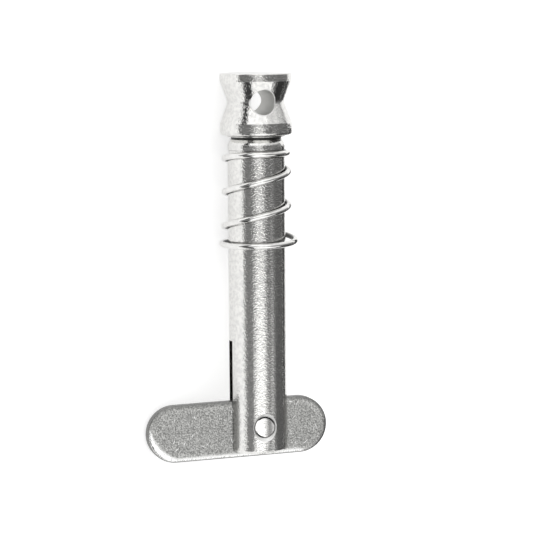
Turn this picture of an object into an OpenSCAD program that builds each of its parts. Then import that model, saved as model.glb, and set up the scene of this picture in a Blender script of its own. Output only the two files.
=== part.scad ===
// Quick release pin: a turned pin with a waisted head, a drop toggle in its slotted end
// and a captive spring below the head. Millimetres.
// The pin's axis is X, with the head's underside at 0 and the slotted end at +X. The pin
// lies as it comes to rest, on its last coil and on the tip of the toggle's long arm.

/* [Shank] */
// Diameter of the shank, which fills the hole that the pin goes through
shank_d = 7.94; // [7:0.02:9]
// Length from the head's underside to the end of the shank
shank_len = 43.9; // [40:0.2:60]
// Width of the chamfer at the end of the shank
tip_chamfer = 0.4; // [0.1:0.05:0.8]

/* [Head] */
// Diameter of the head over its rim and its lower band
head_d = 10; // [9.4:0.1:13]
// Length of the head
head_len = 8.5; // [8:0.1:12]
// Width of the straight rim at the head's end
rim_w = 1.1; // [0.5:0.05:1.6]
// Diameter of the waist, where the two cones of the head meet
waist_d = 7.8; // [6.6:0.1:8.4]
// Distance of the waist from the head's end
waist_at = 3.9; // [3.4:0.1:4.6]
// Width of the lower band
band_w = 1.65; // [1.2:0.05:2]
// Radius of the lower band's lower edge
band_edge_r = 0.36; // [0.1:0.02:0.6]
// Diameter of the cross hole for a lanyard
eye_d = 3.4; // [2:0.1:4]

/* [Collar] */
// Diameter of the narrow ring under the head
ring_d = 8.1; // [8:0.05:9]
// Width of the ring under the head
ring_w = 0.2; // [0.1:0.05:0.6]
// Width of the relief cut between the ring and the collar
relief_w = 0.3; // [0.1:0.05:0.5]
// Depth of the relief cut, measured from the shank
relief_depth = 0.5; // [0.3:0.05:1]
// How far the collar's rounded shoulder comes in
shoulder_in = 0.42; // [0.2:0.02:0.45]
// Width of the collar's rounded shoulder
shoulder_w = 0.7; // [0.6:0.05:0.9]
// Width of the collar, from the relief cut to the spring's seat
collar_w = 1.5; // [1.3:0.05:2.5]
// Depth of the groove that the spring's first coil grips
seat_depth = 0.12; // [0.05:0.01:0.3]

/* [Slot and rivet] */
// Width of the slot that holds the toggle
slot_w = 1.78; // [1.6:0.02:3]
// Length of the slot, measured on the shank's surface
slot_len = 15.5; // [14:0.1:20]
// Radius of the saw that cuts the slot
saw_r = 22; // [20:1:40]
// Distance of the rivet from the end of the shank
rivet_at = 3.7; // [3.2:0.1:4.2]
// Diameter of the rivet
rivet_d = 2.8; // [2:0.1:3.2]
// Depth of the countersinks for the rivet's formed ends
sink_depth = 0.55; // [0.3:0.05:0.7]
// How far the rivet's ends stay below the shank's surface
rivet_below = 0.34; // [0.2:0.02:0.5]

/* [Toggle] */
// Thickness of the toggle
toggle_t = 1.6; // [1.2:0.02:1.7]
// Width of the toggle
toggle_w = 7.9; // [6:0.1:8.4]
// Length of the long arm, from the rivet to its end
long_arm = 15.95; // [13:0.05:20]
// Length of the short arm, from the rivet to its end
short_arm = 9.6; // [7:0.05:10.4]
// How far the rivet hole lies off the toggle's centre line, to the head's side
hole_off = 0.45; // [0:0.05:0.6]
// Turn of the long arm from square, towards the end of the shank
toggle_turn = 1.9; // [0:0.1:6]
// Width of the rolled edge on the toggle's front
roll_w = 0.7; // [0.2:0.05:1.2]
// Depth of the rolled edge on the toggle's front
roll_h = 0.3; // [0.1:0.02:0.5]
// Radius of the edge on the toggle's back
back_edge_r = 0.12; // [0.05:0.01:0.3]

/* [Spring] */
// Diameter of the spring wire
wire_d = 0.82; // [0.6:0.02:0.95]
// Distance between the open coils, centre to centre
coil_pitch = 4.7; // [3.8:0.1:5.4]
// How far the last coil stands out beyond the open coils, all round
flare_out = 0.66; // [0.4:0.02:1.4]
// Sideways shift of the last coil from the pin's axis
flare_shift = 0.22; // [0:0.02:0.4]
// Lean of the open coils, as the axial offset at the coil's side
lean_h = 0.24; // [0:0.02:0.3]

/* [Clearances] */
// Gap between the open coils and the shank
coil_gap = 0.07; // [0.05:0.01:0.2]
// Gap between the first coil and the bottom of its groove
seat_gap = 0.05; // [0.04:0.01:0.1]
// Gap between the first coil and each side of its groove
seat_side_gap = 0.1; // [0.05:0.01:0.2]
// Radial gap between the toggle and the rivet
pivot_gap = 0.05; // [0.02:0.01:0.1]
// Radial gap between the rivet and the ears
rivet_gap = 0.02; // [0.01:0.01:0.05]

/* [Hidden] */
$fn = 96;

shank_r = shank_d / 2;
head_r = head_d / 2;
waist_r = waist_d / 2;
wire_r = wire_d / 2;
past = 1;

// Corner radii of the turned outline, and the steps in each corner
rim_corner_r = 0.2;
waist_corner_r = 0.8;
band_corner_r = 0.5;
fine_corner_r = 0.08;
shoulder_top_r = 0.25;
shoulder_foot_r = 1.4;
corner_steps = 6;

// Places along the pin, from the head's underside
head_end = -head_len;
waist_x = head_end + waist_at;
band_x = -band_w;
relief_x = ring_w;
collar_x = ring_w + relief_w;
seat_start = collar_x + collar_w;
seat_end = seat_start + wire_d + 2 * seat_side_gap;
rivet_x = shank_len - rivet_at;
slot_x = shank_len - slot_len;
relief_r = shank_r - relief_depth;
seat_r = shank_r - seat_depth;

// Rivet and countersinks, as heights above the pin's axis
hole_r = rivet_d / 2 + rivet_gap;
sink_z = shank_r - sink_depth;
rivet_z = shank_r - rivet_below;
rivet_swell = 0.06;
rivet_dome = 0.12;
rivet_edge = 0.1;
dome_steps = 5;

// Spring: turns are counted from the side that faces right in front view, and the wire
// runs over the front to the left and on towards the end of the shank
turns_start = -0.38;
turns_end = 3.84;
front_turn = 14.6;
rings_per_turn = 28;
wire_sides = 10;
seat_coil_r = seat_r + seat_gap + wire_r;
open_coil_r = shank_r + coil_gap + wire_r;
flare_coil_r = open_coil_r + flare_out;
last_coil_r = flare_coil_r + wire_r;
first_x = seat_start + seat_side_gap + wire_r;
// The turns over which the wire leaves its seat and settles into the last coil
leave_seat = [0.17, 0.67];
climb_out = [-0.1, 0.3];
lean_in = [0.3, 0.6];
lean_out = [2.6, 2.9];
settle = [2.88, 3.28];
flare = [2.2, 3.05];

// Tilt about the pin's axis that sets the long arm's tip down beside the last coil
tip_reach = (long_arm - toggle_w / 2) * cos(toggle_turn) + toggle_w / 2;
lie_deg = asin(last_coil_r / norm([tip_reach, toggle_t / 2])) - atan2(toggle_t / 2, tip_reach);

// A unit vector, and the parts of a corner that an arc of radius r rounds off
function unit(v) = v / norm(v);
function turned_by(v, a) = [v.x * cos(a) - v.y * sin(a), v.x * sin(a) + v.y * cos(a)];
function rounded_corner(before, corner, after, r) =
    let (
        u = unit(before - corner),
        v = unit(after - corner),
        half = acos(u * v) / 2,
        centre = corner + unit(u + v) * r / sin(half),
        first = corner + u * r / tan(half) - centre,
        side = cross(v, u) > 0 ? 1 : -1,
        sweep = side * (180 - 2 * half)
    )
    [for (i = [0:corner_steps]) centre + turned_by(first, sweep * i / corner_steps)];

// An outline from rows of [across, along, corner radius]; a radius of 0 is a sharp corner
function place(row) = [row[0], row[1]];
function outline(rows) =
    let (n = len(rows))
    [
        for (i = [0:n - 1])
            let (row = rows[i])
            each row[2] == 0 ? [place(row)] : rounded_corner(
                place(rows[(i + n - 1) % n]), place(row), place(rows[(i + 1) % n]), row[2]
            )
    ];

// Half section of the turned body, as rows of [radius, place along the pin, corner radius]
function body_rows() = [
    [0, head_end, 0],
    [head_r, head_end, rim_corner_r],
    [head_r, head_end + rim_w, rim_corner_r],
    [waist_r, waist_x, waist_corner_r],
    [head_r, band_x, band_corner_r],
    [head_r, 0, band_edge_r],
    [ring_d / 2, 0, 0],
    [ring_d / 2, relief_x, fine_corner_r],
    [relief_r, relief_x, 0],
    [relief_r, collar_x, 0],
    [shank_r - shoulder_in, collar_x, shoulder_top_r],
    [shank_r, collar_x + shoulder_w, shoulder_foot_r],
    [shank_r, seat_start, 0],
    [seat_r, seat_start, 0],
    [seat_r, seat_end, 0],
    [shank_r, seat_end, 0],
    [shank_r, shank_len - tip_chamfer, 0],
    [shank_r - tip_chamfer, shank_len, 0],
    [0, shank_len, 0]
];

// Revolves a half section about the pin's axis
module turned() {
    rotate([0, 90, 0])
        rotate_extrude()
            children();
}

// Tips the parts from the rivet's own upright into the way the pin lies
module laid_down() {
    rotate([lie_deg, 0, 0])
        children();
}

// Straight round cutter through the pin, centred at a place along it
module cross_bore(at, r) {
    translate([at, 0, -head_r - past])
        cylinder(r = r, h = 2 * (head_r + past));
}

// Slot left by a disc saw that comes in from the end
module saw_slot() {
    saw_centre = slot_x + sqrt(saw_r * saw_r - shank_r * shank_r);
    translate([saw_centre, 0, -slot_w / 2])
        cylinder(r = saw_r, h = slot_w, $fn = 180);
}

// Square-angled countersink on one ear; it widens by its own depth
module countersink() {
    sink_h = sink_depth + past;
    translate([rivet_x, 0, sink_z])
        cylinder(r1 = hole_r, r2 = hole_r + sink_h, h = sink_h);
}

module pin_body() {
    color("lightsteelblue")
        laid_down()
            difference() {
                turned()
                    polygon(outline(body_rows()));
                cross_bore(waist_x, eye_d / 2);
                cross_bore(rivet_x, hole_r);
                saw_slot();
                countersink();
                mirror([0, 0, 1])
                    countersink();
            }
}

// Half section of the toggle across its width: rolled over in front, nearly square behind
roll_steps = 6;
function toggle_section(half_w) = [
    [0, -toggle_t / 2],
    [half_w - back_edge_r, -toggle_t / 2],
    [half_w, -toggle_t / 2 + back_edge_r],
    for (i = [0:roll_steps])
        let (a = 90 * i / roll_steps)
        [half_w - roll_w * (1 - cos(a)), toggle_t / 2 - roll_h * (1 - sin(a))],
    [0, toggle_t / 2]
];

module toggle_end(at) {
    translate([at, 0, 0])
        rotate([0, 0, at > 0 ? -90 : 90])
            rotate_extrude(angle = 180)
                polygon(toggle_section(toggle_w / 2));
}

// Straight middle of the toggle, drawn as half its section and its mirror image
module toggle_middle(start, length) {
    translate([start, 0, 0])
        rotate([90, 0, 90])
            linear_extrude(length)
                union() {
                    polygon(toggle_section(toggle_w / 2));
                    mirror([1, 0])
                        polygon(toggle_section(toggle_w / 2));
                }
}

module toggle() {
    long_centre = long_arm - toggle_w / 2;
    short_centre = short_arm - toggle_w / 2;
    color("darkgray")
        laid_down()
            translate([rivet_x, 0, 0])
                rotate([0, 0, toggle_turn - 90])
                    difference() {
                        translate([0, hole_off, 0])
                            union() {
                                toggle_middle(-short_centre, short_centre + long_centre);
                                toggle_end(long_centre);
                                toggle_end(-short_centre);
                            }
                        cylinder(r = rivet_d / 2 + pivot_gap, h = toggle_t + past, center = true);
                    }
}

// Half section of the rivet: straight through the ears, swollen into the countersinks,
// with ends that are slightly domed
function rivet_section() =
    let (
        r = rivet_d / 2,
        dome_r = r + rivet_swell - rivet_edge,
        end = [
            [r, sink_z],
            [r + rivet_swell, rivet_z - rivet_dome - rivet_edge],
            for (i = [dome_steps:-1:0])
                let (s = i / dome_steps)
                [dome_r * s, rivet_z - rivet_dome * s * s]
        ]
    )
    concat(end, [for (i = [len(end) - 1:-1:0]) [end[i].x, -end[i].y]]);

module rivet() {
    color("gainsboro")
        laid_down()
            translate([rivet_x, 0, 0])
                rotate_extrude()
                    polygon(rivet_section());
}

// Runs smoothly from 0 to 1 over a span of turns
function ease(span, t) =
    let (s = max(0, min(1, (t - span[0]) / (span[1] - span[0]))))
    s * s * (3 - 2 * s);

// Turns travelled while a steady slope is taken up over a span, or given up again
function taken_up(span, t) =
    let (w = span[1] - span[0], s = max(0, min(w, t - span[0])))
    s * s / (2 * w) + max(0, t - span[1]);

// Centre of the wire along the pin, its distance from the axis and its place in space
function wire_x(t) =
    first_x + coil_pitch * (taken_up(leave_seat, t) - taken_up(settle, t))
    - lean_h * ease(lean_in, t) * (1 - ease(lean_out, t)) * cos(360 * t);
function coil_r(t) =
    seat_coil_r + (open_coil_r - seat_coil_r) * ease(climb_out, t)
    + (flare_coil_r - open_coil_r) * ease(flare, t);
function wire_centre(t) =
    let (a = front_turn + 360 * t, shift = flare_shift * ease(flare, t))
    [
        wire_x(t),
        coil_r(t) * cos(a) + shift * cos(front_turn),
        coil_r(t) * sin(a) + shift * sin(front_turn)
    ];

// One ring of points round the wire, square to its run
function wire_ring(t) =
    let (
        step = 0.001,
        c = wire_centre(t),
        along = unit(wire_centre(t + step) - wire_centre(t - step)),
        out = [0, cos(front_turn + 360 * t), sin(front_turn + 360 * t)],
        n = unit(out - along * (out * along)),
        b = cross(along, n)
    )
    [
        for (k = [0:wire_sides - 1])
            let (a = 360 * k / wire_sides)
            c + wire_r * (n * cos(a) + b * sin(a))
    ];

module spring() {
    rings = ceil((turns_end - turns_start) * rings_per_turn);
    points = [
        for (i = [0:rings])
            each wire_ring(turns_start + (turns_end - turns_start) * i / rings)
    ];
    walls = [
        for (i = [0:rings - 1], k = [0:wire_sides - 1])
            let (next = (k + 1) % wire_sides, a = i * wire_sides, b = a + wire_sides)
            [a + k, a + next, b + next, b + k]
    ];
    first_cap = [for (k = [wire_sides - 1:-1:0]) k];
    last_cap = [for (k = [0:wire_sides - 1]) rings * wire_sides + k];
    color("silver")
        laid_down()
            polyhedron(points, concat(walls, [first_cap, last_cap]));
}

pin_body();
toggle();
rivet();
spring();
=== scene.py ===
"""Dresses a quick release pin: turned body, drop toggle, rivet and captive spring.

The solids come from the frame and stay where they are. This script gives each of them its
steel finish, winds a smooth wire in place of the faceted spring, and sets the studio.
"""

import logging
import math
from dataclasses import dataclass, field
from enum import Enum

import bmesh
import bpy
from mathutils import Matrix, Vector
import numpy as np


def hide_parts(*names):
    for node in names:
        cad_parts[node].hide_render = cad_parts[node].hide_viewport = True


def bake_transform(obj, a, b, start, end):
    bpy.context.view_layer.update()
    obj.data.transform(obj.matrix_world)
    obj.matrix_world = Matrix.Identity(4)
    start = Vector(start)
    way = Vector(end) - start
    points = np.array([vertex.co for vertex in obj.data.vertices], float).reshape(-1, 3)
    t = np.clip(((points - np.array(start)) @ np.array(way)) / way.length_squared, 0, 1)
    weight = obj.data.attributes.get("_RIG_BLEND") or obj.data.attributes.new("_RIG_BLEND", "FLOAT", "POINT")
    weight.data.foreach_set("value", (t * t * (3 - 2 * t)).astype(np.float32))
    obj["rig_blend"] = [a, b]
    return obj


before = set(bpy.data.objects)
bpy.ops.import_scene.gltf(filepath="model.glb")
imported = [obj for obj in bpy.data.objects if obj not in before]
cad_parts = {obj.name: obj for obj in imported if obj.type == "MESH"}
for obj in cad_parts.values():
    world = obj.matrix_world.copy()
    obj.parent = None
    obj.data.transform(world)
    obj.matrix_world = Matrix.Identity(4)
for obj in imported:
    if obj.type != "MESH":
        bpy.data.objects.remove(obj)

LOG = logging.getLogger("quick_release_pin")
MM = 0.001
# Turn of the whole pin about its axis, as it lies
LIE_DEG = 17.357
# Places of the rivet and of the lanyard hole along the pin
RIVET_MM = 40.2
EYE_MM = -4.6
# Noise levels between which the steel turns from clean to dull
DULL_FROM, DULL_TO = 0.38, 0.64
# Metal that is rubbed bright, also the colour of the painted highlight on the plate's rolled edge
RUBBED_AND_HIGHLIGHT, RUBBED_ROUGH = (0.95, 0.95, 0.94), 0.2
# Painted shade in corners: its colour, how far it reaches, and the openness over which it fades
CORNER_SHADE, CORNER_SHADE_MM = (0.05, 0.05, 0.048), 0.4
CORNER_SHADE_FROM, CORNER_SHADE_TO = 0.55, 0.82


def ease(start: float, end: float, value: float) -> float:
    """Runs smoothly from 0 to 1 between two values.

    Args:
        start: Where the rise begins.
        end: Where the rise ends.
        value: Where it is read.

    Returns:
        A number from 0 to 1.
    """
    share = max(0.0, min(1.0, (value - start) / (end - start)))
    return share * share * (3 - 2 * share)


class Graph:
    """A small writer for shader nodes, so that each finish reads as a list of steps."""

    def __init__(self, tree: bpy.types.NodeTree) -> None:
        """Clears a node tree and keeps it.

        Args:
            tree: The node tree to fill.
        """
        self.tree = tree
        self.tree.nodes.clear()

    def add(self, kind: str, inputs: dict | None = None, **settings: object) -> bpy.types.Node:
        """Adds one node.

        Args:
            kind: Blender's name for the node type.
            inputs: Socket name or number to a constant or to another node's output socket.
            **settings: Properties of the node itself.

        Returns:
            The new node.
        """
        node = self.tree.nodes.new(kind)
        for name, value in settings.items():
            setattr(node, name, value)
        for name, value in (inputs or {}).items():
            if isinstance(value, bpy.types.NodeSocket):
                self.tree.links.new(value, node.inputs[name])
            else:
                node.inputs[name].default_value = value
        return node

    def math(self, operation: str, *values: object) -> bpy.types.NodeSocket:
        """Adds a Math node and returns its output.

        Args:
            operation: The name of the operation.
            *values: Constants or output sockets, in order.

        Returns:
            The result's socket.
        """
        node = self.add("ShaderNodeMath", dict(enumerate(values)), operation=operation)
        return node.outputs[0]

    def blend(self, share: object, first: object, second: object) -> bpy.types.NodeSocket:
        """Mixes two numbers.

        Args:
            share: How much of the second number.
            first: The first number.
            second: The second number.

        Returns:
            The mixed number's socket.
        """
        return self.add("ShaderNodeMix", {"Factor": share, 2: first, 3: second}).outputs[0]

    def blend_colours(self, share: object, first: object, second: object) -> bpy.types.NodeSocket:
        """Mixes two colours, each a constant or an output socket.

        Args:
            share: How much of the second colour.
            first: The first colour.
            second: The second colour.

        Returns:
            The mixed colour's socket.
        """
        sides = {
            6 + i: side if isinstance(side, bpy.types.NodeSocket) else (*side, 1)
            for i, side in enumerate((first, second))
        }
        return self.add("ShaderNodeMix", {"Factor": share, **sides}, data_type="RGBA").outputs[2]

    def span(
        self, value: object, low: float, high: float, to_low: float, to_high: float
    ) -> bpy.types.NodeSocket:
        """Maps one range of numbers onto another, held at its ends.

        Args:
            value: The socket to map.
            low: The value that becomes to_low.
            high: The value that becomes to_high.
            to_low: The result at low.
            to_high: The result at high.

        Returns:
            The result's socket.
        """
        source = {"Value": value, "From Min": low, "From Max": high}
        target = {"To Min": to_low, "To Max": to_high}
        return self.add("ShaderNodeMapRange", {**source, **target}).outputs["Result"]


@dataclass(frozen=True)
class Grain:
    """One scale of surface texture.

    Attributes:
        size_mm: Size of its bumps.
        depth_mm: Height of its bumps.
        above: How high the noise must rise to show, from 0 to 1; above 0 it leaves bare metal
            between scattered marks.
        around: How much longer its bumps are round the pin than along it.
        detail: Octaves of finer noise on top.
        fade: Rise of the noise over which a scattered mark reaches its full height.
    """

    size_mm: float
    depth_mm: float
    above: float = 0.0
    around: float = 1.0
    detail: float = 1.0
    fade: float = 0.2

    def height(self, g: Graph, place: bpy.types.NodeSocket) -> bpy.types.NodeSocket:
        """Adds its noise to a graph.

        Args:
            g: The material's graph.
            place: Object coordinates.

        Returns:
            The height, in millimetres.
        """
        squeeze = (1.0, 1 / self.around, 1 / self.around)
        run = g.add("ShaderNodeMapping", {"Vector": place, "Scale": squeeze}).outputs[0]
        noise = g.add(
            "ShaderNodeTexNoise",
            {"Vector": run, "Scale": 1 / (self.size_mm * MM), "Detail": self.detail},
        ).outputs["Fac"]
        if not self.above:
            return g.math("MULTIPLY", noise, self.depth_mm)
        return g.span(noise, self.above, self.above + self.fade, 0.0, self.depth_mm)


@dataclass(frozen=True)
class Plate:
    """Flat directions square to a hole through the pin, for marks that lie round it.

    Attributes:
        along_mm: Place of the hole along the pin.
        turn_deg: Turn of the first direction from the pin's axis.
        lie_deg: Turn of the hole about the pin's axis, from upright.
    """

    along_mm: float
    turn_deg: float = 0.0
    lie_deg: float = LIE_DEG

    def axes(self, g: Graph, place: bpy.types.NodeSocket) -> tuple[bpy.types.NodeSocket, ...]:
        """Adds the two directions to a graph.

        Args:
            g: The material's graph.
            place: Object coordinates.

        Returns:
            Distances along both directions, in millimetres.
        """
        lie, turn = math.radians(self.lie_deg), math.radians(self.turn_deg)
        world = g.add("ShaderNodeSeparateXYZ", {0: place}).outputs
        x = g.math("MULTIPLY_ADD", world["X"], 1 / MM, -self.along_mm)
        up = g.math("MULTIPLY", world["Z"], math.sin(lie) / MM)
        y = g.math("MULTIPLY_ADD", world["Y"], math.cos(lie) / MM, up)
        first = g.math("MULTIPLY_ADD", x, math.cos(turn), g.math("MULTIPLY", y, math.sin(turn)))
        second = g.math("MULTIPLY_ADD", y, math.cos(turn), g.math("MULTIPLY", x, -math.sin(turn)))
        return first, second


@dataclass(frozen=True)
class Scratches:
    """Short fine scratches in several directions on a flat plate.

    Attributes:
        along_mm: Place of the plate along the pin.
        angles_deg: Directions of the scratches.
        long_mm: Length scale of a scratch.
        wide_mm: Width scale of a scratch.
        rarity: How high the noise must rise to show one, from 0 to 1.
        depth_mm: Depth of a scratch.
        fade: Rise of the noise over which a scratch shows fully.
    """

    along_mm: float
    angles_deg: tuple[float, ...]
    long_mm: float
    wide_mm: float
    rarity: float
    depth_mm: float
    fade: float = 0.03

    def mask(self, g: Graph, place: bpy.types.NodeSocket) -> bpy.types.NodeSocket:
        """Adds the scratches to a graph.

        Args:
            g: The material's graph.
            place: Object coordinates.

        Returns:
            1 in a scratch and 0 beside it.
        """
        total: bpy.types.NodeSocket | float = 0.0
        for angle in self.angles_deg:
            u, v = Plate(self.along_mm, angle).axes(g, place)
            drawn = g.add(
                "ShaderNodeCombineXYZ",
                {
                    "X": g.math("DIVIDE", u, self.long_mm),
                    "Y": g.math("DIVIDE", v, self.wide_mm),
                    "Z": angle,
                },
            )
            noise = g.add(
                "ShaderNodeTexNoise", {"Vector": drawn.outputs[0], "Scale": 1, "Detail": 0}
            ).outputs["Fac"]
            line = g.span(noise, self.rarity, self.rarity + self.fade, 0.0, 1.0)
            total = g.math("MAXIMUM", line, total)
        return total


@dataclass(frozen=True)
class PaintedRing:
    """A ring round a hole's axis painted darker as painted shade, on a hole's wall or in a seam, or lighter
    as a painted highlight on a rim.

    Attributes:
        plate: Directions square to the hole.
        inner_mm: Inner radius of the ring.
        outer_mm: Outer radius of the ring.
        colour: Reflected colour in the ring.
        rough: Roughness in the ring.
        arcs_deg: Middle and half width of each arc that shows, counted from the pin's run to
            the tip; none for a whole ring.
        narrowed: Width of the ring's outline across the pin, as a share of its length.
        fade_deg: Half width of the soft ends of an arc.
    """

    plate: Plate
    inner_mm: float
    outer_mm: float
    colour: tuple[float, float, float]
    rough: float
    arcs_deg: tuple[tuple[float, float], ...] = ()
    narrowed: float = 1.0
    fade_deg: float = 9.0

    def mask(self, g: Graph, place: bpy.types.NodeSocket) -> bpy.types.NodeSocket:
        """Adds the ring to a graph.

        Args:
            g: The material's graph.
            place: Object coordinates.

        Returns:
            1 in the ring and 0 outside it.
        """
        u, v = self.plate.axes(g, place)
        radius = g.math("SQRT", g.math("MULTIPLY_ADD", u, u, g.math("MULTIPLY", v, v)))
        wide = g.math("DIVIDE", v, self.narrowed)
        outline = g.math("SQRT", g.math("MULTIPLY_ADD", u, u, g.math("MULTIPLY", wide, wide)))
        outside = g.math("GREATER_THAN", radius, self.inner_mm)
        within = g.math("MULTIPLY", g.math("LESS_THAN", outline, self.outer_mm), outside)
        shown: bpy.types.NodeSocket | float = 0.0 if self.arcs_deg else 1.0
        for middle, half in self.arcs_deg:
            turn = math.radians(middle)
            ahead = g.math("MULTIPLY_ADD", u, math.cos(turn), g.math("MULTIPLY", v, math.sin(turn)))
            near = math.cos(math.radians(half - self.fade_deg))
            far = math.cos(math.radians(half + self.fade_deg))
            arc = g.span(g.math("DIVIDE", ahead, radius), far, near, 0.0, 1.0)
            shown = g.math("MAXIMUM", arc, shown)
        return g.math("MULTIPLY", within, shown)


@dataclass(frozen=True)
class GrooveShade:
    """A turned groove whose floor is painted dark, as painted shade.

    Attributes:
        start_mm: Where the groove starts along the pin.
        end_mm: Where it ends.
        below_mm: Radius below which the painted shade lies.
        colour: Reflected colour in the groove.
        rough: Roughness in the groove.
    """

    start_mm: float
    end_mm: float
    below_mm: float
    colour: tuple[float, float, float]
    rough: float

    def mask(self, g: Graph, place: bpy.types.NodeSocket) -> bpy.types.NodeSocket:
        """Adds the groove to a graph.

        Args:
            g: The material's graph.
            place: Object coordinates.

        Returns:
            1 in the groove and 0 outside it.
        """
        axes = g.add("ShaderNodeSeparateXYZ", {0: place}).outputs
        up = g.math("MULTIPLY", axes["Z"], axes["Z"])
        square = g.math("MULTIPLY_ADD", axes["Y"], axes["Y"], up)
        deep = g.math("LESS_THAN", square, (self.below_mm * MM) ** 2)
        after = g.math("GREATER_THAN", axes["X"], self.start_mm * MM)
        before = g.math("LESS_THAN", axes["X"], self.end_mm * MM)
        return g.math("MULTIPLY", deep, g.math("MULTIPLY", after, before))


@dataclass(frozen=True)
class InnerSideShade:
    """The side of a coiled wire that faces the pin, painted dark as painted shade.

    Attributes:
        colour: Reflected colour of the inner side.
        rough: Roughness of the inner side.
        dark_at: How far the surface faces outward where the painted shade is full, from -1 to 1.
        unshaded_at: How far it faces outward where the painted shade ends.
    """

    colour: tuple[float, float, float]
    rough: float
    dark_at: float = -0.7
    unshaded_at: float = -0.25

    def mask(self, g: Graph, place: bpy.types.NodeSocket) -> bpy.types.NodeSocket:
        """Adds the inner side to a graph.

        Args:
            g: The material's graph.
            place: Object coordinates.

        Returns:
            1 on the side that faces the pin's axis and 0 on the outside.
        """
        aside = g.add(
            "ShaderNodeVectorMath", {0: place, 1: (0, 1, 1)}, operation="MULTIPLY"
        ).outputs[0]
        out = g.add("ShaderNodeVectorMath", {0: aside}, operation="NORMALIZE").outputs[0]
        normal = g.add("ShaderNodeTexCoord").outputs["Normal"]
        facing = g.add("ShaderNodeVectorMath", {0: normal, 1: out}, operation="DOT_PRODUCT")
        return g.span(facing.outputs["Value"], self.dark_at, self.unshaded_at, 1.0, 0.0)


@dataclass(frozen=True)
class Crown:
    """A gentle curve of a formed end, more across the pin than along it.

    Attributes:
        plate: Directions square to the end.
        along: Rise per square millimetre along the pin; below 0 it falls off.
        across: Rise per square millimetre across the pin.
    """

    plate: Plate
    along: float
    across: float

    def height(self, g: Graph, place: bpy.types.NodeSocket) -> bpy.types.NodeSocket:
        """Adds the curve to a graph.

        Args:
            g: The material's graph.
            place: Object coordinates.

        Returns:
            The height, in millimetres.
        """
        u, v = self.plate.axes(g, place)
        side = g.math("MULTIPLY", g.math("MULTIPLY", v, v), self.across)
        return g.math("MULTIPLY_ADD", g.math("MULTIPLY", u, u), self.along, side)


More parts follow.
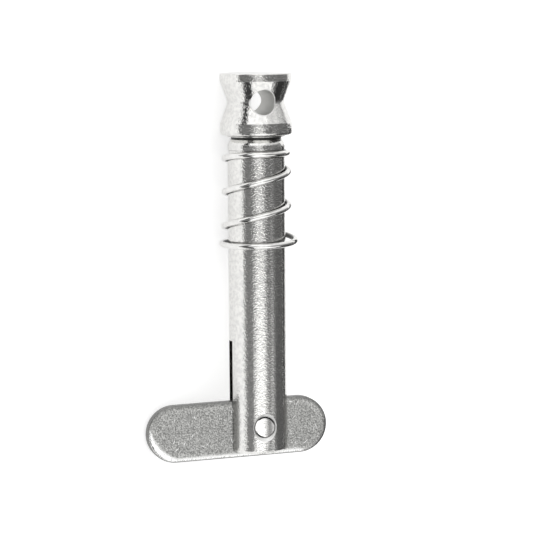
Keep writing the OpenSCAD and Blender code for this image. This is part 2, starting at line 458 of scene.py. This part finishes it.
@dataclass(frozen=True)
class BlankedEdge:
    """The edge of a plate with round ends: rolled over in front and sheared on its sides.

    Attributes:
        plate: Directions along and across the plate, from its rivet.
        ends_mm: Centres of the round ends along it.
        off_mm: How far its centre line lies beside the rivet.
        half_mm: Half of its width.
        roll_mm: Width of the rolled edge.
        drop_mm: Depth of the rolled edge.
        sheared_and_shade: Reflected colour of its sheared sides, partly the sheared steel's own
        darker colour and partly painted shade; it also paints the shade on the head's side of
        the edge and the dark line along its outline.
        corner_deg: Where its worn edge with the painted highlight is widest, from the long arm's end
            to the pin's tip.
        corner_mm: How much wider the worn, highlighted edge is there.
        worn: Width of the worn, highlighted edge elsewhere, as a share of the rolled edge.
        worn_fade_mm: Where the wear and painted highlight start and where they are full, from its
            inner limit.
        clear_mm: Distances from the outline between which the wear and painted highlight stop.
        outline_shade_mm: Distances from the outline between which the painted dark line along it
            starts.
        outline_shade: How dark that painted line of shade is, from 0 to 1.
        shaded: Width of the painted shade along the head's side of the edge, as a share of the
        rolled edge.
    """

    plate: Plate
    ends_mm: tuple[float, float]
    off_mm: float
    half_mm: float
    roll_mm: float
    drop_mm: float
    sheared_and_shade: tuple[float, float, float]
    corner_deg: float = 42.0
    corner_mm: float = 0.75
    worn: float = 0.3
    worn_fade_mm: tuple[float, float] = (-0.15, 0.3)
    clear_mm: tuple[float, float] = (0.22, 0.1)
    outline_shade_mm: tuple[float, float] = (0.16, 0.06)
    outline_shade: float = 0.75
    shaded: float = 0.45

    def _reach(self, g: Graph, place: bpy.types.NodeSocket) -> tuple[bpy.types.NodeSocket, ...]:
        """How far out a point lies, and which way out is.

        Args:
            g: The material's graph.
            place: Object coordinates.

        Returns:
            Distance from the plate's inner line, in millimetres, and the outward direction's
            shares towards the long arm's end and across the plate.
        """
        u, v = self.plate.axes(g, place)
        start, end = self.ends_mm
        beyond = g.math("MAXIMUM", g.math("SUBTRACT", u, end), 0.0)
        before = g.math("MAXIMUM", g.math("SUBTRACT", start, u), 0.0)
        past_end = g.math("SUBTRACT", beyond, before)
        across = g.math("SUBTRACT", v, self.off_mm)
        square = g.math("MULTIPLY_ADD", past_end, past_end, g.math("MULTIPLY", across, across))
        reach = g.math("SQRT", square)
        return reach, g.math("DIVIDE", past_end, reach), g.math("DIVIDE", across, reach)

    def height(self, g: Graph, place: bpy.types.NodeSocket) -> bpy.types.NodeSocket:
        """Adds the rolled edge to a graph.

        Args:
            g: The material's graph.
            place: Object coordinates.

        Returns:
            The height, in millimetres: below 0 on the tip's side, and above 0 on the head's
            side, where the roll hardly shows.
        """
        reach, _, across = self._reach(g, place)
        share = g.span(reach, self.half_mm - self.roll_mm, self.half_mm, 0.0, 1.0)
        drop = g.span(across, -0.5, 0.3, self.drop_mm, -self.drop_mm)
        return g.math("MULTIPLY", g.math("MULTIPLY", share, share), drop)

    def wear_and_highlight(self, g: Graph, place: bpy.types.NodeSocket) -> bpy.types.NodeSocket:
        """Adds a mask of the edge that is worn bright and painted as a highlight, widest at the long arm's
        outer corner and kept to the tip's side.

        Args:
            g: The material's graph.
            place: Object coordinates.

        Returns:
            1 where the edge is bright and 0 elsewhere.
        """
        reach, along, across = self._reach(g, place)
        corner = math.radians(self.corner_deg)
        aside = g.math("MULTIPLY", across, math.sin(corner))
        facing = g.math("MULTIPLY_ADD", along, math.cos(corner), aside)
        narrow = self.worn * self.roll_mm
        width = g.span(facing, 0.5, 0.98, narrow, narrow + self.corner_mm)
        over = g.math("SUBTRACT", reach, g.math("SUBTRACT", self.half_mm, width))
        worn = g.span(over, *self.worn_fade_mm, 0.0, 1.0)
        within = g.span(reach, *(self.half_mm - clear for clear in self.clear_mm), 1.0, 0.0)
        tipward = g.math("MAXIMUM", across, g.math("SUBTRACT", facing, 0.4))
        lower = g.span(tipward, 0.0, 0.4, 0.0, 1.0)
        return g.math("MULTIPLY", g.math("MULTIPLY", worn, within), lower)

    def shade(self, g: Graph, place: bpy.types.NodeSocket) -> bpy.types.NodeSocket:
        """Adds a mask of the painted shade along the edge, on the side of the head.

        Args:
            g: The material's graph.
            place: Object coordinates.

        Returns:
            1 at the dull edge and 0 elsewhere.
        """
        reach, _, across = self._reach(g, place)
        near = g.span(reach, self.half_mm - self.shaded * self.roll_mm, self.half_mm, 0.0, 1.0)
        return g.math("MULTIPLY", near, g.span(across, -0.3, -0.8, 0.0, 0.7))

    def side(self, g: Graph, place: bpy.types.NodeSocket) -> bpy.types.NodeSocket:
        """Adds a mask of the sheared sides, darkened partly as painted shade, and of the painted dark line
        of shade along the outline, to a graph.

        Args:
            g: The material's graph.
            place: Object coordinates.

        Returns:
            1 on the sides, the painted line's darkness near the outline, and 0 elsewhere on the flat faces.
        """
        lie = math.radians(self.plate.lie_deg)
        normal = g.add("ShaderNodeTexCoord").outputs["Normal"]
        facing = g.add(
            "ShaderNodeVectorMath",
            {0: normal, 1: (0, -math.sin(lie), math.cos(lie))},
            operation="DOT_PRODUCT",
        ).outputs["Value"]
        upright = g.span(g.math("ABSOLUTE", facing), 0.35, 0.55, 1.0, 0.0)
        reach, _, _ = self._reach(g, place)
        # Painted shade: a dark line along the plate's outline.
        line = g.span(reach, *(self.half_mm - start for start in self.outline_shade_mm), 0.0, self.outline_shade)
        return g.math("MAXIMUM", upright, line)


@dataclass(frozen=True)
class SteelFinish:
    """A bare steel surface.

    Attributes:
        name: Name of the material.
        slot: Material slot of the record that it belongs to; not used.
        colour: Reflected colour of the clean metal.
        dull_colour: Reflected colour in its duller patches.
        gloss: Roughness where the surface is brightest.
        matt: Roughness in its duller patches.
        patch_mm: Size of those patches.
        grains: Bump textures, from coarse to fine.
        scratches: Fine scratches on it, if any.
        shade_and_highlight: Holes, seams, grooves and rims painted darker as painted shade or lighter
        as painted highlight.
        crown: Gentle curve of its formed end, if any.
        edge: Edge of its plate, if it is one.
        corner_shade: How dark the painted shade in tight corners is, from 0 to 1.
    """

    name: str
    slot: str
    colour: tuple[float, float, float]
    dull_colour: tuple[float, float, float]
    gloss: float
    matt: float
    patch_mm: float
    grains: tuple[Grain, ...]
    scratches: Scratches | None = None
    shade_and_highlight: tuple[PaintedRing | GrooveShade | InnerSideShade, ...] = ()
    crown: Crown | None = None
    edge: BlankedEdge | None = None
    corner_shade: float = 0.85

    def material(self) -> bpy.types.Material:
        """Builds the node material.

        Returns:
            The new material.
        """
        made = bpy.data.materials.new(self.name)
        made.use_nodes = True
        g = Graph(made.node_tree)
        place = g.add("ShaderNodeTexCoord").outputs["Object"]
        patches = g.add(
            "ShaderNodeTexNoise", {"Vector": place, "Scale": 1 / (self.patch_mm * MM), "Detail": 2}
        )
        dullness = g.span(patches.outputs["Fac"], DULL_FROM, DULL_TO, 0.0, 1.0)
        colour = g.blend_colours(dullness, self.colour, self.dull_colour)
        rough = g.span(dullness, 0.0, 1.0, self.gloss, self.matt)
        height: bpy.types.NodeSocket | float = 0.0
        for grain in self.grains:
            height = g.math("ADD", grain.height(g, place), height)
        if self.scratches:
            cut = self.scratches.mask(g, place)
            height = g.math("MULTIPLY_ADD", cut, -self.scratches.depth_mm, height)
            colour = g.blend_colours(cut, colour, RUBBED_AND_HIGHLIGHT)
        if self.crown:
            height = g.math("ADD", self.crown.height(g, place), height)
        if self.edge:
            height = g.math("ADD", self.edge.height(g, place), height)
            # Painted highlight on the tip's side of the rolled edge, together with its wear.
            bright = self.edge.wear_and_highlight(g, place)
            colour = g.blend_colours(bright, colour, RUBBED_AND_HIGHLIGHT)
            rough = g.blend(bright, rough, RUBBED_ROUGH)
            # Painted shade on the head's side of the edge and on the sheared sides, which are partly the
            # sheared steel's own darker colour.
            colour = g.blend_colours(self.edge.shade(g, place), colour, self.edge.sheared_and_shade)
            colour = g.blend_colours(self.edge.side(g, place), colour, self.edge.sheared_and_shade)
        # Painted shade and painted highlights in holes, seams, grooves and on rims.
        for mark in self.shade_and_highlight:
            inside = mark.mask(g, place)
            colour = g.blend_colours(inside, colour, mark.colour)
            rough = g.blend(inside, rough, mark.rough)
        # Painted shade: the colour turns dark where ambient occlusion finds tight corners, gaps and
        # contacts.
        corner = g.add("ShaderNodeAmbientOcclusion", {"Distance": CORNER_SHADE_MM * MM}, samples=8)
        corner_shade = g.span(corner.outputs["AO"], CORNER_SHADE_FROM, CORNER_SHADE_TO, self.corner_shade, 0.0)
        colour = g.blend_colours(corner_shade, colour, CORNER_SHADE)
        bump = g.add("ShaderNodeBump", {"Height": height, "Strength": 1.0, "Distance": MM})
        shader = g.add(
            "ShaderNodeBsdfPrincipled",
            {
                "Base Color": colour,
                "Metallic": 1.0,
                "Roughness": rough,
                "Normal": bump.outputs["Normal"],
            },
        )
        g.add("ShaderNodeOutputMaterial", {"Surface": shader.outputs["BSDF"]})
        return made


TURNED = SteelFinish(
    name="turned_steel",
    slot="body_steel",
    colour=(0.80, 0.795, 0.775),
    dull_colour=(0.70, 0.695, 0.68),
    gloss=0.08,
    matt=0.14,
    patch_mm=0.5,
    grains=(Grain(1.0, 0.009, around=1.3), Grain(0.23, 0.007, 0.45, 1.15), Grain(0.14, 0.006)),
    shade_and_highlight=(
        # Painted shade on the lanyard hole's wall, which is also rougher.
        PaintedRing(Plate(EYE_MM), 0.0, 1.72, (0.62, 0.62, 0.6), 0.45),
        # Painted highlight in arcs round the lanyard hole's rim.
        PaintedRing(Plate(EYE_MM), 1.72, 1.86, (0.97, 0.97, 0.96), 0.8, ((-20, 80), (130, 50))),
        # Painted highlight on the countersink round the rivet.
        PaintedRing(Plate(RIVET_MM), 1.46, 1.97, (0.97, 0.97, 0.96), 0.5, narrowed=0.84),
        # Painted shade in the gap round the rivet.
        PaintedRing(Plate(RIVET_MM), 0.0, 1.46, (0.08, 0.08, 0.078), 0.5),
        # Painted shade in the relief groove under the head.
        GrooveShade(0.2, 0.5, 3.8, (0.07, 0.07, 0.068), 0.4),
    ),
)
BLANKED = SteelFinish(
    name="tumbled_plate",
    slot="toggle_steel",
    colour=(0.585, 0.585, 0.568),
    dull_colour=(0.26, 0.26, 0.253),
    gloss=0.32,
    matt=0.44,
    patch_mm=0.2,
    grains=(Grain(0.8, 0.02), Grain(0.24, 0.046), Grain(0.12, 0.01)),
    scratches=Scratches(RIVET_MM, (20.0, 75.0, 130.0, 160.0), 1.3, 0.22, 0.78, 0.02),
    edge=BlankedEdge(
        Plate(RIVET_MM, -88.1),
        ends_mm=(-5.65, 12.0),
        off_mm=0.45,
        half_mm=3.95,
        roll_mm=1.2,
        drop_mm=0.16,
        sheared_and_shade=(0.21, 0.21, 0.205),
    ),
)
FORMED = SteelFinish(
    name="formed_rivet",
    slot="rivet_steel",
    colour=(0.84, 0.835, 0.82),
    dull_colour=(0.76, 0.755, 0.74),
    gloss=0.1,
    matt=0.16,
    patch_mm=0.8,
    grains=(Grain(0.5, 0.006), Grain(0.2, 0.006)),
    crown=Crown(Plate(RIVET_MM), 0.065, -0.06),
    shade_and_highlight=(
        # Painted shade in arcs of the gap round the rivet's rim.
        PaintedRing(
            Plate(RIVET_MM), 1.26, 2.0, (0.03, 0.03, 0.03), 0.4, ((165.0, 55.0), (-35.0, 27.0))
        ),
    ),
)
DRAWN = SteelFinish(
    name="drawn_wire",
    slot="spring_steel",
    colour=(0.84, 0.835, 0.82),
    dull_colour=(0.76, 0.755, 0.74),
    gloss=0.08,
    matt=0.16,
    patch_mm=0.7,
    grains=(Grain(0.4, 0.006), Grain(0.15, 0.002)),
    # Painted shade on the wire's inner side, facing the pin.
    shade_and_highlight=(InnerSideShade((0.14, 0.14, 0.137), 0.3),),
)


@dataclass
class Solid:
    """A solid of the frame that keeps its own shape and gets softened edges and a finish.

    Attributes:
        node: Name of its node.
        finish: Its steel finish.
        edge_mm: Width of the softened edges.
        smooth_deg: Angle below which neighbouring faces shade as one surface.
        soften_deg: Angle above which an edge is softened.
        steps: Steps across a softened edge.
    """

    node: str
    finish: SteelFinish
    edge_mm: float
    smooth_deg: float = 24.0
    soften_deg: float = 32.0
    steps: int = 2

    def dress(self) -> bpy.types.Object:
        """Shades the solid smoothly, softens its edges and gives it its finish.

        Returns:
            The solid's object.
        """
        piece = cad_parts[self.node]
        mesh = piece.data
        mesh.polygons.foreach_set("use_smooth", [True] * len(mesh.polygons))
        mesh.set_sharp_from_angle(angle=math.radians(self.smooth_deg))
        mesh.materials.clear()
        mesh.materials.append(self.finish.material())
        soft = piece.modifiers.new("soft_edges", "BEVEL")
        soft.width = self.edge_mm * MM
        soft.segments = self.steps
        soft.limit_method = "ANGLE"
        soft.angle_limit = math.radians(self.soften_deg)
        soft.harden_normals = True
        LOG.info("%s: %d faces, %s", self.node, len(mesh.polygons), self.finish.name)
        return piece


@dataclass
class CoilSpring:
    """The captive spring, wound as one smooth wire over the same path as its solid.

    All lengths are in millimetres, and turns are counted from the right side in front view.

    Attributes:
        shank_r: Radius of the shank.
        wire_r: Radius of the wire.
        pitch: Distance between the open coils.
        first_x: Place of the seated coil along the pin.
        seat_depth: Depth of its groove.
        seat_gap: Gap between the seated coil and its groove.
        coil_gap: Gap between the open coils and the shank.
        flare_out: How far the last coil stands out beyond the open coils.
        flare_shift: Sideways shift of the last coil.
        lean: Lean of the open coils.
        front_turn: Angle of the right side in front view, in degrees.
        lie: Turn of the whole pin about its axis, in degrees.
        turns: First and last turn of the wire.
        opening: Turns over which the wire leaves the seated coil.
        closing: Turns over which it levels out for the last coil.
        lean_in: Turns over which the open coils start to lean.
        lean_out: Turns over which they stop leaning.
        lifting: Turns over which the wire climbs out of its groove.
        flaring: Turns over which the last coil widens.
        rings_per_turn: Rings of the mesh in each turn.
        sides: Sides of the wire.
        sharp_deg: Angle above which an edge of the mesh stays sharp, at the wire's ends.
    """

    shank_r: float = 3.97
    wire_r: float = 0.41
    pitch: float = 4.7
    first_x: float = 2.51
    seat_depth: float = 0.12
    seat_gap: float = 0.05
    coil_gap: float = 0.066
    flare_out: float = 0.66
    flare_shift: float = 0.22
    lean: float = 0.24
    front_turn: float = 14.6
    lie: float = LIE_DEG
    turns: tuple[float, float] = (-0.38, 3.84)
    opening: tuple[float, float] = (0.17, 0.67)
    closing: tuple[float, float] = (2.88, 3.28)
    lean_in: tuple[float, float] = (0.3, 0.6)
    lean_out: tuple[float, float] = (2.6, 2.9)
    lifting: tuple[float, float] = (-0.1, 0.3)
    flaring: tuple[float, float] = (2.2, 3.05)
    rings_per_turn: int = 84
    sides: int = 20
    sharp_deg: float = 50.0

    def _taken_up(self, start: float, end: float, turn: float) -> float:
        """Counts the turns travelled while a steady slope is taken up between two turns.

        Args:
            start: The turn where the slope sets in.
            end: The turn from which it is steady.
            turn: Where the wire is read.

        Returns:
            The turns travelled at the full slope that reach as far.
        """
        width = end - start
        share = max(0.0, min(width, turn - start))
        return share * share / (2 * width) + max(0.0, turn - end)

    def _along(self, turn: float) -> float:
        """Finds the place of the wire's centre along the pin.

        Args:
            turn: Where the wire is read.

        Returns:
            The distance from the head's underside.
        """
        run = self._taken_up(*self.opening, turn) - self._taken_up(*self.closing, turn)
        leaning = ease(*self.lean_in, turn) * (1 - ease(*self.lean_out, turn))
        return self.first_x + self.pitch * run - self.lean * leaning * math.cos(math.tau * turn)

    def _radius(self, turn: float) -> float:
        """Finds how far out the wire's centre lies.

        Args:
            turn: Where the wire is read.

        Returns:
            The distance from the pin's axis, or from its shifted place for the last coil.
        """
        seated = self.shank_r - self.seat_depth + self.seat_gap + self.wire_r
        running = self.shank_r + self.coil_gap + self.wire_r
        return (
            seated
            + (running - seated) * ease(*self.lifting, turn)
            + self.flare_out * ease(*self.flaring, turn)
        )

    def _centre(self, turn: float) -> Vector:
        """Finds the centre of the wire in space, in the frame as the pin lies.

        Args:
            turn: Where the wire is read.

        Returns:
            The centre.
        """
        base = math.radians(self.front_turn + self.lie)
        angle = base + math.tau * turn
        shift = self.flare_shift * ease(*self.flaring, turn)
        radius = self._radius(turn)
        return Vector((
            self._along(turn),
            radius * math.cos(angle) + shift * math.cos(base),
            radius * math.sin(angle) + shift * math.sin(base),
        ))

    def wind(self, finish: SteelFinish) -> bpy.types.Object:
        """Builds the wire and lets it close up evenly as its last coil travels.

        Args:
            finish: The wire's finish.

        Returns:
            The spring's object, in place of its solid.
        """
        first, last = self.turns
        count = round((last - first) * self.rings_per_turn)
        mesh = bmesh.new()
        weight = mesh.verts.layers.float.new("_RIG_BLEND")
        ends = self._along(first), self._along(last)
        rings: list[list[bmesh.types.BMVert]] = []
        for i in range(count + 1):
            turn = first + (last - first) * i / count
            share = (self._along(turn) - ends[0]) / (ends[1] - ends[0])
            ring = [mesh.verts.new(p * MM) for p in self._ring(turn)]
            for vert in ring:
                vert[weight] = max(0.0, min(1.0, share))
            rings.append(ring)
        for here, beyond in zip(rings, rings[1:]):
            for k in range(self.sides):
                after = (k + 1) % self.sides
                mesh.faces.new((here[k], here[after], beyond[after], beyond[k]))
        mesh.faces.new(list(reversed(rings[0])))
        mesh.faces.new(rings[-1])
        mesh.normal_update()
        data = bpy.data.meshes.new("coil_spring")
        mesh.to_mesh(data)
        mesh.free()
        data.polygons.foreach_set("use_smooth", [True] * len(data.polygons))
        data.set_sharp_from_angle(angle=math.radians(self.sharp_deg))
        data.materials.append(finish.material())
        piece = bpy.data.objects.new("coil_spring", data)
        bpy.context.scene.collection.objects.link(piece)
        self._follow(piece)
        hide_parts("spring")
        LOG.info("coil_spring: %d faces, %s", len(data.polygons), finish.name)
        return piece

    def _ring(self, turn: float) -> list[Vector]:
        """Finds the points round the wire, square to its run.

        Args:
            turn: Where the wire is read.

        Returns:
            The points, in order.
        """
        step = 0.001
        centre = self._centre(turn)
        along = (self._centre(turn + step) - self._centre(turn - step)).normalized()
        angle = math.radians(self.front_turn + self.lie) + math.tau * turn
        out = Vector((0, math.cos(angle), math.sin(angle)))
        across = (out - along * out.dot(along)).normalized()
        third = along.cross(across)
        return [
            centre + self.wire_r * (across * math.cos(a) + third * math.sin(a))
            for a in (math.tau * k / self.sides for k in range(self.sides))
        ]

    def _follow(self, piece: bpy.types.Object) -> None:
        """Ties the wire's two ends to the pin and to the moving coil.

        Args:
            piece: The wire. Its weights are one number for each ring, so the wire stays
                round and the gaps between its coils close evenly.
        """
        mesh = piece.data
        weights = [0.0] * len(mesh.vertices)
        mesh.attributes["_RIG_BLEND"].data.foreach_get("value", weights)
        start = (self.first_x * MM, 0, 0)
        end = (self._along(self.turns[1]) * MM, 0, 0)
        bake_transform(piece, "pin", "spring", start=start, end=end)
        mesh.attributes["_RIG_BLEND"].data.foreach_set("value", weights)


class Ray(Enum):
    """Kinds of rays that the floor and the sky answer differently, by Blender's names."""

    CAMERA = "Is Camera Ray"
    GLOSSY = "Is Glossy Ray"
    DIFFUSE = "Is Diffuse Ray"


@dataclass(frozen=True)
class Panel:
    """A stretch of an arch of the studio's sky.

    Attributes:
        start_deg: Where it starts, from -90 on the right over 0 overhead to 90 on the left.
        level: Its brightness up to where the next one starts.
        edge_deg: Width over which it runs in from the one before.
    """

    start_deg: float
    level: float
    edge_deg: float = 3.0


@dataclass(frozen=True)
class Arch:
    """An arch of the studio's sky across the pin, as it is seen from the pin.

    Attributes:
        along: Its place along the pin, from -1 at the head's horizon to 1 at the tip's.
        panels: Its stretches, from right to left.
    """

    along: float
    panels: tuple[Panel, ...]

    def level(self, g: Graph, angle: bpy.types.NodeSocket) -> bpy.types.NodeSocket:
        """Adds the arch to a graph.

        Args:
            g: The sky's graph.
            angle: Place round the arch, from 0 at -90 degrees to 1 at 90 degrees.

        Returns:
            The brightness's socket.
        """
        marks = [(-90.0, self.panels[0].level)]
        for before, after in zip(self.panels, self.panels[1:]):
            marks.append((after.start_deg - after.edge_deg / 2, before.level))
            marks.append((after.start_deg + after.edge_deg / 2, after.level))
        marks.append((90.0, self.panels[-1].level))
        top = max(level for _, level in marks)
        ramp = g.add("ShaderNodeValToRGB", {"Fac": angle})
        stops = ramp.color_ramp.elements
        stops[0].color = (*(marks[0][1] / top,) * 3, 1)
        stops[1].color = (*(marks[-1][1] / top,) * 3, 1)
        for degrees, level in marks[1:-1]:
            stops.new((degrees + 90) / 180).color = (*(level / top,) * 3, 1)
        return g.math("MULTIPLY", ramp.outputs["Color"], top)


ARCHES = (
    Arch(-0.50, (Panel(-90, 0.9), Panel(-10, 1.3), Panel(64, 0.02), Panel(83, 1.0))),
    Arch(-0.20, (Panel(-90, 0.14), Panel(-16, 0.14), Panel(8, 0.9, 12), Panel(38, 0.12, 14))),
    Arch(
        0.01,
        (
            Panel(-90, 0.34),
            Panel(-58, 0.26),
            Panel(-14, 0.28),
            Panel(9, 1.0, 12),
            Panel(34, 0.19, 12),
            Panel(88.5, 1.0),
        ),
    ),
    Arch(
        0.05,
        (
            Panel(-90, 0.13),
            Panel(-20, 0.14, 12),
            Panel(9, 0.33, 12),
            Panel(25, 0.22, 10),
            Panel(88.5, 1.0),
        ),
    ),
    Arch(
        0.09,
        (
            Panel(-90, 0.1),
            Panel(-48, 0.14, 8),
            Panel(5, 0.41, 14),
            Panel(30, 0.22, 12),
            Panel(88, 1.0),
        ),
    ),
    Arch(
        0.12,
        (
            Panel(-90, 0.12),
            Panel(-47, 0.2, 8),
            Panel(-35, 0.42, 6),
            Panel(-26, 0.24, 8),
            Panel(0, 1.05, 20),
            Panel(40, 0.27, 20),
            Panel(84, 1.0),
        ),
    ),
    Arch(
        0.15,
        (
            Panel(-90, 0.14),
            Panel(-47, 0.27, 8),
            Panel(-35, 0.8, 6),
            Panel(-26, 0.32, 8),
            Panel(-3, 1.8, 18),
            Panel(46, 0.31, 20),
            Panel(79, 1.0),
        ),
    ),
    Arch(
        0.50,
        (
            Panel(-90, 0.03),
            Panel(-48, 0.3),
            Panel(-38, 1.2),
            Panel(47, 0.05),
            Panel(80, 1.0),
        ),
    ),
)


@dataclass
class Studio:
    """Floor, sky and camera.

    Attributes:
        floor_drop_mm: How far the floor lies below the pin's axis.
        floor_size_m: Width of the floor.
        floor_colour: Grey of the floor's paint.
        floor_glow: Light added to the floor, for the camera and for the metal.
        fill: Level of the sky for matt surfaces.
        flag_mm: Corners of the dark card's near edge, along the pin and across it.
        flag_width_mm: Width of the dark card.
        flag_lift_mm: How far the dark card lies above the floor.
        flag_colour: Grey of the dark card.
        arches: The sky that the metal reflects.
    """

    floor_drop_mm: float = 5.53
    floor_size_m: float = 1.2
    floor_colour: float = 0.8
    floor_glow: dict[Ray, float] = field(
        default_factory=lambda: {Ray.CAMERA: 0.5, Ray.GLOSSY: 0.38}
    )
    fill: float = 0.9
    flag_mm: tuple[tuple[float, float], tuple[float, float]] = ((0.0, 17.0), (200.0, 68.0))
    flag_width_mm: float = 280.0
    flag_lift_mm: float = 0.1
    flag_colour: float = 0.06
    arches: tuple[Arch, ...] = ARCHES

    def build(self) -> None:
        """Makes the floor, the sky and the camera."""
        self._floor()
        self._flag()
        self._sky()
        Viewpoint().place()
        bpy.context.scene.view_settings.view_transform = "Standard"

    def _floor(self) -> None:
        """A pale floor that the camera sees as white, with the pin's shadow on it."""
        half = self.floor_size_m / 2
        z = -self.floor_drop_mm * MM
        mesh = bpy.data.meshes.new("floor")
        corners = [(-half, -half, z), (half, -half, z), (half, half, z), (-half, half, z)]
        mesh.from_pydata(corners, [], [(0, 1, 2, 3)])
        floor = bpy.data.objects.new("floor", mesh)
        bpy.context.scene.collection.objects.link(floor)
        paint = bpy.data.materials.new("floor_paint")
        paint.use_nodes = True
        g = Graph(paint.node_tree)
        path = g.add("ShaderNodeLightPath").outputs
        strength: bpy.types.NodeSocket | float = 0.0
        for ray, glow in self.floor_glow.items():
            strength = g.math("MULTIPLY_ADD", path[ray.value], glow, strength)
        matt = g.add("ShaderNodeBsdfDiffuse", {"Color": (*(self.floor_colour,) * 3, 1)})
        shine = g.add("ShaderNodeEmission", {"Color": (1, 1, 1, 1), "Strength": strength})
        both = g.add("ShaderNodeAddShader", {0: matt.outputs[0], 1: shine.outputs[0]})
        g.add("ShaderNodeOutputMaterial", {"Surface": both.outputs[0]})
        mesh.materials.append(paint)

    def _flag(self) -> None:
        """A dark card that lies to the right of the shank and is seen only in the metal."""
        z = (self.flag_lift_mm - self.floor_drop_mm) * MM
        width = self.flag_width_mm * MM
        near = [(along * MM, across * MM, z) for along, across in self.flag_mm]
        mesh = bpy.data.meshes.new("dark_card")
        corners = near + [(x, y + width, z) for x, y, z in reversed(near)]
        mesh.from_pydata(corners, [], [(0, 1, 2, 3)])
        card = bpy.data.objects.new("dark_card", mesh)
        card.visible_camera = False
        card.visible_diffuse = False
        card.visible_shadow = False
        bpy.context.scene.collection.objects.link(card)
        felt = bpy.data.materials.new("black_felt")
        felt.use_nodes = True
        g = Graph(felt.node_tree)
        matt = g.add("ShaderNodeBsdfDiffuse", {"Color": (*(self.flag_colour,) * 3, 1)})
        g.add("ShaderNodeOutputMaterial", {"Surface": matt.outputs[0]})
        mesh.materials.append(felt)

    def _sky(self) -> None:
        """White to the camera, plain to matt surfaces, and arches of panels to the metal."""
        world = bpy.data.worlds.new("studio_sky")
        bpy.context.scene.world = world
        world.use_nodes = True
        g = Graph(world.node_tree)
        direction = g.add("ShaderNodeTexCoord").outputs["Generated"]
        axes = g.add("ShaderNodeSeparateXYZ", {0: direction}).outputs
        left = g.math("MULTIPLY", axes["Y"], -1.0)
        angle = g.math("ARCTAN2", left, axes["Z"])
        round_arch = g.span(angle, -math.pi / 2, math.pi / 2, 0.0, 1.0)
        level = self.arches[0].level(g, round_arch)
        for before, after in zip(self.arches, self.arches[1:]):
            share = g.span(axes["X"], before.along, after.along, 0.0, 1.0)
            level = g.blend(share, level, after.level(g, round_arch))
        path = g.add("ShaderNodeLightPath").outputs
        level = g.blend(path[Ray.DIFFUSE.value], level, self.fill)
        level = g.blend(path[Ray.CAMERA.value], level, 1.0)
        sky = g.add("ShaderNodeBackground", {"Color": (1, 1, 1, 1), "Strength": level})
        g.add("ShaderNodeOutputWorld", {"Surface": sky.outputs[0]})


@dataclass(frozen=True)
class Viewpoint:
    """The camera, looking down on the lying pin.

    Attributes:
        focal_px: Focal length in pixels of the photograph.
        frame_px: Width of the photograph.
        distance_mm: Distance from the point that it looks at.
        turn_deg: Turn about the pin's axis from straight above, to the long arm's side.
        dip_deg: Tilt towards the head.
        roll_deg: Turn of the picture.
        along_mm: Place along the pin that it looks at.
        right_mm: Shift of that place to the right in the picture.
        down_mm: Shift of that place down the picture.
        sensor_mm: Width of the camera's sensor.
        clip_m: Distance from which the camera sees.
    """

    focal_px: float = 2696.0
    frame_px: float = 533.0
    distance_mm: float = 372.8
    turn_deg: float = 32.04
    dip_deg: float = 5.84
    roll_deg: float = -0.498
    along_mm: float = 17.0
    right_mm: float = 1.303
    down_mm: float = 1.222
    sensor_mm: float = 36.0
    clip_m: float = 0.01

    def place(self) -> bpy.types.Object:
        """Makes the camera and makes it the scene's.

        Returns:
            The camera.
        """
        turn, dip, roll = (math.radians(a) for a in (self.turn_deg, self.dip_deg, self.roll_deg))
        above = Vector((0, -math.sin(turn), math.cos(turn)))
        level_right = Vector((0, math.cos(turn), math.sin(turn)))
        back = above * math.cos(dip) + Vector((-1, 0, 0)) * math.sin(dip)
        level_up = back.cross(level_right)
        right = level_right * math.cos(roll) + level_up * math.sin(roll)
        up = level_up * math.cos(roll) - level_right * math.sin(roll)
        aim = Vector((self.along_mm, 0, 0)) + right * self.right_mm - up * self.down_mm
        lens = bpy.data.cameras.new("camera")
        lens.sensor_width = self.sensor_mm
        lens.lens = self.focal_px / self.frame_px * self.sensor_mm
        lens.clip_start = self.clip_m
        camera = bpy.data.objects.new("camera", lens)
        camera.matrix_world = Matrix.Translation((aim + back * self.distance_mm) * MM) @ Matrix(
            (right, up, back)
        ).transposed().to_4x4()
        bpy.context.scene.collection.objects.link(camera)
        bpy.context.scene.camera = camera
        return camera


def main() -> None:
    """Dresses the pin and builds the studio, piece by piece."""
    logging.basicConfig(level=logging.INFO, format="%(name)s %(message)s")
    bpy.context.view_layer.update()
    Solid("pin_body", TURNED, 0.09).dress()
    Solid("toggle", BLANKED, 0.05).dress()
    Solid("rivet", FORMED, 0.03).dress()
    CoilSpring().wind(DRAWN)
    Studio().build()


if __name__ == "__main__":
    main()
